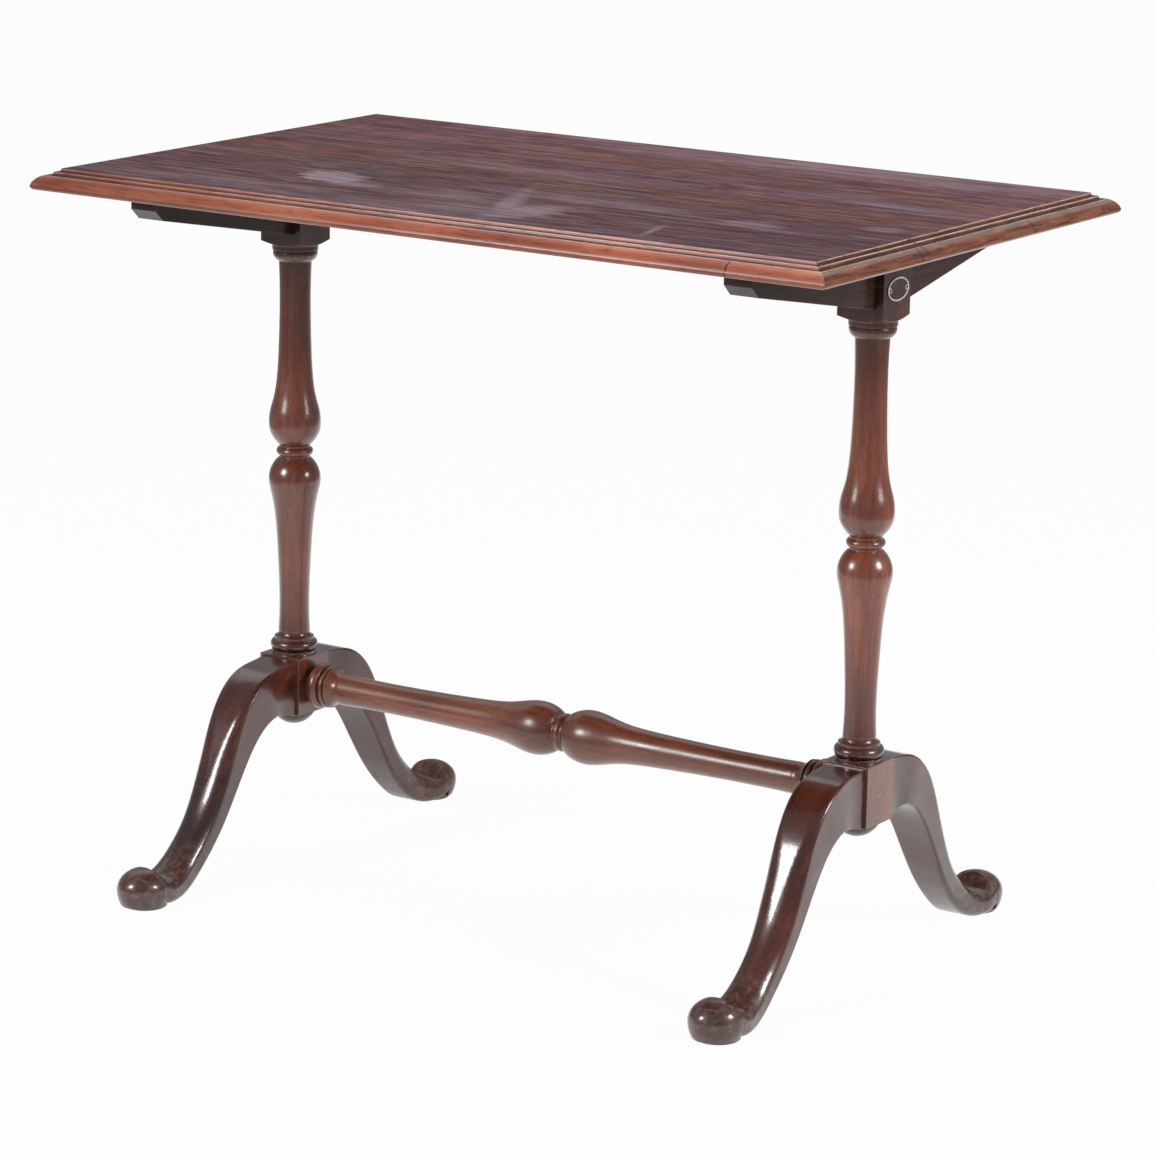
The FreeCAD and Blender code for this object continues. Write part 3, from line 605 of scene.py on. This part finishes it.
class TopPlaces:
    """Where a point of the top lies, as shares of the field, the steps, the nosing and the ends."""

    def __init__(self, graph):
        self.east, self.north, self.level = graph.split(graph.coords)
        to_end = graph.minus(half_length, graph.math("ABSOLUTE", self.east))
        to_front = graph.minus(half_width, graph.math("ABSOLUTE", self.north))
        self.end = graph.rescale(graph.minus(to_front, to_end), -MITRE_BLUR, MITRE_BLUR)
        self.field = graph.rescale(self.level, *FIELD_LEVELS)
        self.nosing = graph.rescale(self.level, *NOSING_LEVELS)
        self.edge = graph.minus(1.0, self.field)
        self.steps = graph.minus(self.edge, self.nosing)
        climbed = graph.math("DIVIDE", graph.minus(self.level, RISER_FOOT), STEP_DROP)
        self.riser = graph.math("FRACT", climbed)
        self.rightward = graph.limit(self.east, "left_to_right")


def field_colours(graph, at, ribbon, fine):
    """Plum and brown ribbons of the field, mottled, with painted light making it paler to the back."""
    plum = graph.ramp(fine, FIELD_STOPS, PLUM_TONES)
    brown = graph.ramp(fine, FIELD_STOPS, BROWN_TONES)
    colour = graph.mix(graph.limit(ribbon, "plum_to_brown"), plum, brown)
    colour = graph.shade(colour, graph.marks("mottle"))
    # Painted light makes the field brighter towards the back
    return graph.shade(colour, graph.limit(at.north, "painted_light_to_back"))


def edge_colours(graph, at, streak, blotch):
    """Moulded edge: red along the front, darker cut fibres at the ends, with painted light brighter to
    the right and up the nosing, a painted reflection on its right, painted shade at the foot of each
    riser and painted highlights on its arrises and shoulder.
    """
    darkest, gain = FRONT_PAINTED_LIGHT
    front = graph.ramp(graph.blend(streak, blotch, FRONT_STREAK_SHARE), FRONT_STOPS, FRONT_TONES)
    # Painted light makes the front brighter towards the right
    front = graph.shade(front, graph.add_share(darkest, at.rightward, gain))
    # Painted reflection, pale towards the right of the front
    front = graph.mix(graph.times(at.rightward, FRONT_REFLECTION_SHARE), front, FRONT_PAINTED_REFLECTION)
    # Painted shade makes the nosing darker towards its bottom
    front = graph.shade(front, graph.limit(at.level, "nosing_painted_shade"))
    colour = graph.mix(at.end, front, graph.ramp(graph.pattern("cut_fibre"), END_STOPS, END_TONES))
    # Painted shade at the foot of each riser
    foot = graph.times(graph.limit(at.riser, "riser_foot"), at.steps)
    colour = graph.shade(colour, graph.add_share(1.0, foot, RISER_SHADE))
    # Painted highlights on the arrises of the steps and on the nosing's shoulder
    least, growth = ARRIS_HIGHLIGHT_SHARE
    share = graph.most(graph.add_share(least, at.rightward, growth), at.end)
    arris_highlight = graph.times(graph.limit(at.riser, "riser_arris_highlight"), at.steps, graph.marks("arris_breakup"), share)
    shoulder_highlight = graph.times(graph.limit(at.level, "shoulder_highlight"), at.nosing, at.end, SHOULDER_HIGHLIGHT_SHARE)
    return graph.mix(graph.most(arris_highlight, shoulder_highlight), colour, ARRIS_HIGHLIGHT)


def spot(graph, centre, half, turn, soft, breakup):
    """Soft-edged oval patch on the top, broken up by noise."""
    moved = graph.vector_math("SUBTRACT", graph.coords, (*centre, 0.0))["Vector"]
    turned = graph.node("ShaderNodeVectorRotate", {"Vector": moved, "Angle": -math.radians(turn)},
                        rotation_type="Z_AXIS").outputs[0]
    local = graph.vector_math("MULTIPLY", turned, (1.0 / half[0], 1.0 / half[1], 0.0))["Vector"]
    reach = graph.vector_math("LENGTH", local)["Value"]
    return graph.rescale(graph.math("ADD", reach, breakup), 1.0 + soft, 1.0 - soft)


def bloom_and_sheen_marks(graph, at, fine):
    """Pale bloom in the field's old polish, and painted sheen: patches, and a haze along the grain."""
    # Noise from 0 to 1 becomes a breakup from -1 to 1
    breakup = graph.add_share(-1.0, graph.pattern("ragged"), 2.0)
    patches = [graph.times(spot(graph, centre, half, turn, soft, breakup), strength)
               for centre, half, turn, soft, strength in BLOOM_AND_SHEEN]
    bloom_and_sheen = graph.most(*patches, graph.marks("sheen_haze"))
    return graph.times(bloom_and_sheen, graph.limit(fine, "bloom_and_sheen_grain"), at.field)


def field_scratches(graph, at):
    """Long fine scratches and short dashes on the field."""
    scratches = scuffs(graph, SCRATCH_ANGLES, SCRATCH_DENSITY, "top_scratch")
    return graph.times(graph.most(scratches, graph.marks("dash")), at.field)


def nosing_cracks(graph, at, blotch):
    """Fine wavering cracks on the front and on the right end."""
    on_front = graph.times(graph.minus(1.0, at.end), graph.limit(at.north, "front_half"))
    on_end = graph.times(at.end, graph.limit(at.east, "right_half"))
    cracks = [(at.east, on_front, *crack) for crack in FRONT_CRACKS]
    cracks += [(at.north, on_end, *crack) for crack in END_CRACKS]
    lines = []
    for along, side, place, half in cracks:
        away = graph.minus(along, place + CRACK_WAVER / 2)
        away = graph.math("ABSOLUTE", graph.add_share(away, blotch, CRACK_WAVER))
        lines.append(graph.times(graph.rescale(away, 2 * half, half), side))
    return graph.most(*lines)


def top_wood(name, shift):
    """Top boards: a dull, bloomed and scratched field with painted sheen, and a redder, better kept
    moulded edge with painted light and shade.
    """
    graph = Graph(bpy.data.materials.new(name))
    at = TopPlaces(graph)
    space = graph.grain_space((1, 0, 0), (0, 1, 0), shift)
    ribbon, streak, pore = grain(graph, space, "top")
    fine = graph.blend(streak, graph.pattern("top_hair", space), FIELD_STREAK_SHARE)
    blotch = graph.pattern("blotch")
    edge = edge_colours(graph, at, streak, blotch)
    colour = graph.mix(at.field, edge, field_colours(graph, at, ribbon, fine))
    colour = graph.mix(graph.times(pore, PORE_SHARE), colour, TOP_PORE)

    bloom_and_sheen = bloom_and_sheen_marks(graph, at, fine)
    scratches = field_scratches(graph, at)
    joint = graph.limit(graph.math("ABSOLUTE", graph.minus(at.north, board_joint)), "board_joint")
    cracks = nosing_cracks(graph, at, blotch)
    # Pale polish bloom and painted sheen on the field
    colour = graph.mix(bloom_and_sheen, colour, BLOOM_AND_SHEEN_COLOUR)
    colour = graph.mix(graph.times(scratches, SCRATCH_SHARE), colour, SCRATCH_COLOUR)
    colour = graph.mix(graph.times(joint, JOINT_SHARE), colour, DIRT_AND_SHADE)
    colour = graph.mix(graph.times(cracks, at.nosing, CRACK_SHARE), colour, DIRT_AND_SHADE)
    # Pale worn edges of the top, partly painted highlight
    colour = graph.mix(edge_wear_and_highlight(graph, TOP_EDGE_REACH, TOP_EDGE_SHARE), colour, TOP_EDGE_WEAR_AND_HIGHLIGHT)
    # Dirt and painted shade darken the recesses of the top
    colour = recess_dirt_and_shade(graph, colour, TOP_DIRT_AND_SHADE_REACH, TOP_DIRT_AND_SHADE_SHARE)

    field_roughness = graph.limit(graph.pattern("top_smear"), "field_roughness")
    field_roughness = graph.add_share(field_roughness, bloom_and_sheen, BLOOM_AND_SHEEN_ROUGHNESS)
    roughness = graph.node("ShaderNodeMix", {0: at.field, 2: EDGE_ROUGHNESS, 3: field_roughness},
                           data_type="FLOAT").outputs[0]
    coat = graph.times(at.edge, graph.limit(at.nosing, "edge_coat"))
    soft = graph.rounded(TOP_SOFT_RADIUS, SOFT_SAMPLES)
    fibres = graph.minus(graph.times(streak, TOP_STREAK_HEIGHT), pore)
    height = graph.minus(fibres, graph.times(scratches, SCRATCH_DEPTH), cracks)
    wood_normal = graph.bump(height, TOP_GRAIN_STRENGTH, GRAIN_DEPTH, soft)
    return polished(graph, colour, roughness, wood_normal, coat, TOP_COAT_ROUGHNESS, soft, TOP_SPECULAR)


def metal(graph, colour, roughness, skin, strength, metallic):
    """Metal with a slightly rough skin."""
    normal = graph.bump(skin, strength, METAL_DEPTH)
    shader = graph.node("ShaderNodeBsdfPrincipled", {
        "Base Color": colour, "Roughness": roughness, "Normal": normal, "Metallic": metallic}).outputs[0]
    return graph.finish(shader)


def iron(name):
    """Dark oxidised iron of the screws."""
    graph = Graph(bpy.data.materials.new(name))
    rust = graph.pattern("rust")
    colour = graph.ramp(rust, IRON_STOPS, IRON_TONES)
    return metal(graph, colour, graph.limit(rust, "iron_roughness"), rust, IRON_BUMP, IRON_METALLIC)


def plate_metal(name):
    """Painted zinc: dark in the hollow, rubbed pale on the raised rim and eyes."""
    graph = Graph(bpy.data.materials.new(name))
    stain = graph.pattern("stain")
    paint = graph.ramp(stain, PLATE_STOPS, PAINT_TONES)
    zinc = graph.ramp(stain, PLATE_STOPS, ZINC_TONES)
    colour = graph.mix(graph.limit(graph.split(graph.coords)[0], "plate_rim"), paint, zinc)
    return metal(graph, colour, graph.limit(stain, "plate_roughness"), stain, PLATE_BUMP, PLATE_METALLIC)


# Materials: direction of the grain, direction across it, tones, shift of the grain, other looks
ACROSS = (1, 0, 0)
FRONT_LEG = (0, -0.783, -0.62)
REAR_LEG = (0, 0.783, -0.62)
materials = {
    "top_front": top_wood("mahogany_top_front", (0.0, 0.0, 0.0)),
    "top_rear": top_wood("mahogany_top_rear", (3.1, 1.7, 0.4)),
    "column": base_wood("mahogany_column", (0, 0, 1), ACROSS, COLUMN_TONES, (0.0, 0.3, 0.0),
                        gloss=0.23, dirt_and_shade=0.9, shades=COLUMN_SHADES),
    "leg_front": base_wood("mahogany_leg_front", FRONT_LEG, ACROSS, LEG_TONES, (0.7, 0.0, 0.0),
                           gloss=0.13, wave=3.0, worn_below=FOOT_WEAR, bruise=LEG_BRUISE),
    "leg_rear": base_wood("mahogany_leg_rear", REAR_LEG, ACROSS, LEG_TONES, (1.9, 0.0, 0.0),
                          gloss=0.15, wave=3.0, worn_below=FOOT_WEAR),
    "leg_dull": base_wood("mahogany_leg_dull", REAR_LEG, ACROSS, LEG_TONES, (2.6, 0.0, 0.0),
                          coat=0.45, gloss=0.22, wave=3.0, worn_below=FOOT_WEAR),
    "stretcher": base_wood("mahogany_stretcher", (1, 0, 0), (0, 1, 0), STRETCHER_TONES, (0.2, 0.6, 0.0),
                           coat=0.9, gloss=0.36, dirt_and_shade=0.9),
    # Bearers and bosses take the tones made dark as painted shade; the bearers' stronger pale edges are
    # partly painted highlight
    "bearer": base_wood("mahogany_bearer", (0, 1, 0), ACROSS, SHADED_DARK_TONES, (0.0, 0.2, 0.1),
                        coat=0.2, wear_and_highlight=0.6),
    "boss": base_wood("mahogany_boss", (0, 0, 1), ACROSS, SHADED_DARK_TONES, (0.0, 0.2, 0.1),
                      coat=0.4, wear_and_highlight=0.2),
    "plug": base_wood("mahogany_plug", (0, 1, 0), ACROSS, PLUG_TONES, (0.4, 0.2, 0.1)),
    "screw": iron("oxidised_iron"),
}

DRESS = (
    # beginning of the node's name, material
    ("top_board_front", "top_front"),
    ("top_board_rear", "top_rear"),
    ("bearer_screws", "screw"),
    ("bearer", "bearer"),
    ("column", "column"),
    ("boss", "boss"),
    ("leg_front", "leg_front"),
    ("leg_rear_left", "leg_dull"),
    ("leg_rear", "leg_rear"),
    ("stretcher_screw", "screw"),
    ("stretcher_plug", "plug"),
    ("stretcher", "stretcher"),
)
for name, node in nodes.items():
    key = next(material for start, material in DRESS if name.startswith(start))
    node.data.materials.clear()
    node.data.materials.append(materials[key])


def ring(mesh, centre, radii, height, segments):
    """Loop of points at a height over the outer face of the right head."""
    points = []
    for step in range(segments):
        angle = 2 * math.pi * step / segments
        points.append(mesh.verts.new((plate_face + height, centre[0] + radii[0] * math.cos(angle),
                                      centre[1] + radii[1] * math.sin(angle))))
    return points


def bridge(mesh, loops):
    """Skin from each loop of points to the next."""
    for first, second in zip(loops, loops[1:]):
        count = len(first)
        for step in range(count):
            after = (step + 1) % count
            mesh.faces.new((first[step], first[after], second[after], second[step]))


def close(mesh, loops):
    """Skin over the first loop and over the last."""
    mesh.faces.new(loops[0])
    mesh.faces.new(loops[-1])


def mesh_object(mesh, name, material):
    """Turns a finished mesh into a smooth piece of the table."""
    bmesh.ops.recalc_face_normals(mesh, faces=mesh.faces)
    data = bpy.data.meshes.new(name)
    mesh.to_mesh(data)
    mesh.free()
    for polygon in data.polygons:
        polygon.use_smooth = True
    data.materials.append(material)
    piece = bpy.data.objects.new(name, data)
    scene.collection.objects.link(piece)
    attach(piece, "root")


def make_plate():
    """Pressed plate with a raised rim and an eye at each end."""
    mesh = bmesh.new()
    loops = [ring(mesh, PLATE_CENTRE, (PLATE_HALF_LENGTH - inset, PLATE_HALF_HEIGHT - inset), height,
                  PLATE_SEGMENTS) for inset, height in PLATE_PROFILE]
    bridge(mesh, loops)
    close(mesh, loops)
    for centre in eye_centres:
        rims = []
        for step in range(EYE_TUBE_SEGMENTS):
            angle = 2 * math.pi * step / EYE_TUBE_SEGMENTS
            radius = EYE_RADIUS + EYE_TUBE * math.cos(angle)
            height = EYE_STAND_OFF + EYE_TUBE * math.sin(angle)
            rims.append(ring(mesh, centre, (radius, radius), height, EYE_SEGMENTS))
        bridge(mesh, rims + rims[:1])
    mesh_object(mesh, "oval_plate", plate_metal("painted_zinc"))


def make_nails():
    """Domed head of a nail in each eye."""
    mesh = bmesh.new()
    for centre in eye_centres:
        domes = []
        for step in range(NAIL_STEPS):
            angle = math.pi / 2 * step / NAIL_STEPS
            radius = NAIL_RADIUS * math.cos(angle)
            height = NAIL_STAND_OFF + NAIL_RISE * math.sin(angle)
            domes.append(ring(mesh, centre, (radius, radius), height, NAIL_SEGMENTS))
        bridge(mesh, domes)
        close(mesh, domes)
    mesh_object(mesh, "plate_nails", materials["screw"])


def make_floor():
    """White floor that still takes the table's shadow."""
    data = bpy.data.meshes.new("floor")
    corners = [(-FLOOR_HALF, -FLOOR_HALF, 0), (FLOOR_HALF, -FLOOR_HALF, 0), (FLOOR_HALF, FLOOR_HALF, 0),
               (-FLOOR_HALF, FLOOR_HALF, 0)]
    data.from_pydata(corners, [], [(0, 1, 2, 3)])
    floor = bpy.data.objects.new("floor", data)
    scene.collection.objects.link(floor)
    graph = Graph(bpy.data.materials.new("floor_paper"))
    path = graph.node("ShaderNodeLightPath").outputs
    mirrored = graph.math("ADD", path["Is Glossy Ray"], path["Is Transmission Ray"])
    seen = graph.math("MINIMUM", graph.math("ADD", path["Is Camera Ray"], mirrored), 1.0)
    forward = graph.dot(graph.coords, towards_camera)
    aside = graph.math("ABSOLUTE", graph.dot(graph.coords, across_view))
    sheet = graph.times(graph.rescale(forward, *SHEET_FRONT), graph.rescale(aside, *SHEET_SIDE))
    level = graph.most(path["Is Camera Ray"], graph.limit(sheet, "floor_sheet"))
    paper = graph.node("ShaderNodeBsdfDiffuse", {"Color": FLOOR_COLOUR}).outputs[0]
    white = graph.node("ShaderNodeEmission", {"Color": FLOOR_WHITE, "Strength": level}).outputs[0]
    share = graph.times(seen, FLOOR_WHITE_SHARE)
    shader = graph.node("ShaderNodeMixShader", {0: share, 1: paper, 2: white}).outputs[0]
    data.materials.append(graph.finish(shader))


def make_lamp(name, place, width, height, power):
    """Soft area light aimed at the table."""
    data = bpy.data.lights.new(name, "AREA")
    data.shape = "RECTANGLE"
    data.size = width
    data.size_y = height
    data.energy = power
    lamp = bpy.data.objects.new(name, data)
    lamp.location = place
    lamp.rotation_euler = (Vector(AIM) - Vector(place)).to_track_quat("-Z", "Y").to_euler()
    lamp.visible_camera = False
    scene.collection.objects.link(lamp)


def make_world():
    """Dim room with a white backdrop high behind the table, white all round to the camera."""
    scene.world = bpy.data.worlds.new("studio")
    graph = Graph(scene.world)
    direction = graph.places["Generated"]
    behind = graph.dot(direction, away_from_camera)
    rise = graph.split(direction)[2]
    between = graph.times(graph.rescale(rise, *BACKDROP_FOOT), graph.rescale(rise, *BACKDROP_HEAD))
    stands = graph.times(graph.rescale(behind, *BACKDROP_SIDE), between)
    path = graph.node("ShaderNodeLightPath").outputs
    mirrored = graph.math("ADD", path["Is Glossy Ray"], path["Is Transmission Ray"])
    share = graph.most(path["Is Camera Ray"], graph.times(mirrored, stands))
    room = graph.node("ShaderNodeBackground", {"Color": WORLD_COLOUR}).outputs[0]
    white = graph.node("ShaderNodeBackground", {"Color": BACKDROP_COLOUR}).outputs[0]
    shader = graph.node("ShaderNodeMixShader", {0: share, 1: room, 2: white}).outputs[0]
    graph.finish(shader, "ShaderNodeOutputWorld")


def make_camera():
    """Camera at the photograph's place, with everything in focus."""
    data = bpy.data.cameras.new("camera")
    data.sensor_width = SENSOR_WIDTH
    data.lens = CAMERA_LENS
    data.clip_end = CAMERA_REACH
    camera = bpy.data.objects.new("camera", data)
    scene.collection.objects.link(camera)
    camera.matrix_world = (Matrix.Translation(CAMERA_PLACE)
                           @ Matrix.Rotation(-yaw, 4, "Z")
                           @ Matrix.Rotation(math.radians(90.0 - CAMERA_PITCH), 4, "X")
                           @ Matrix.Rotation(math.radians(CAMERA_ROLL), 4, "Z"))
    scene.camera = camera


make_plate()
make_nails()
make_floor()
for lamp in SOFTBOXES:
    make_lamp(*lamp)
make_world()
make_camera()
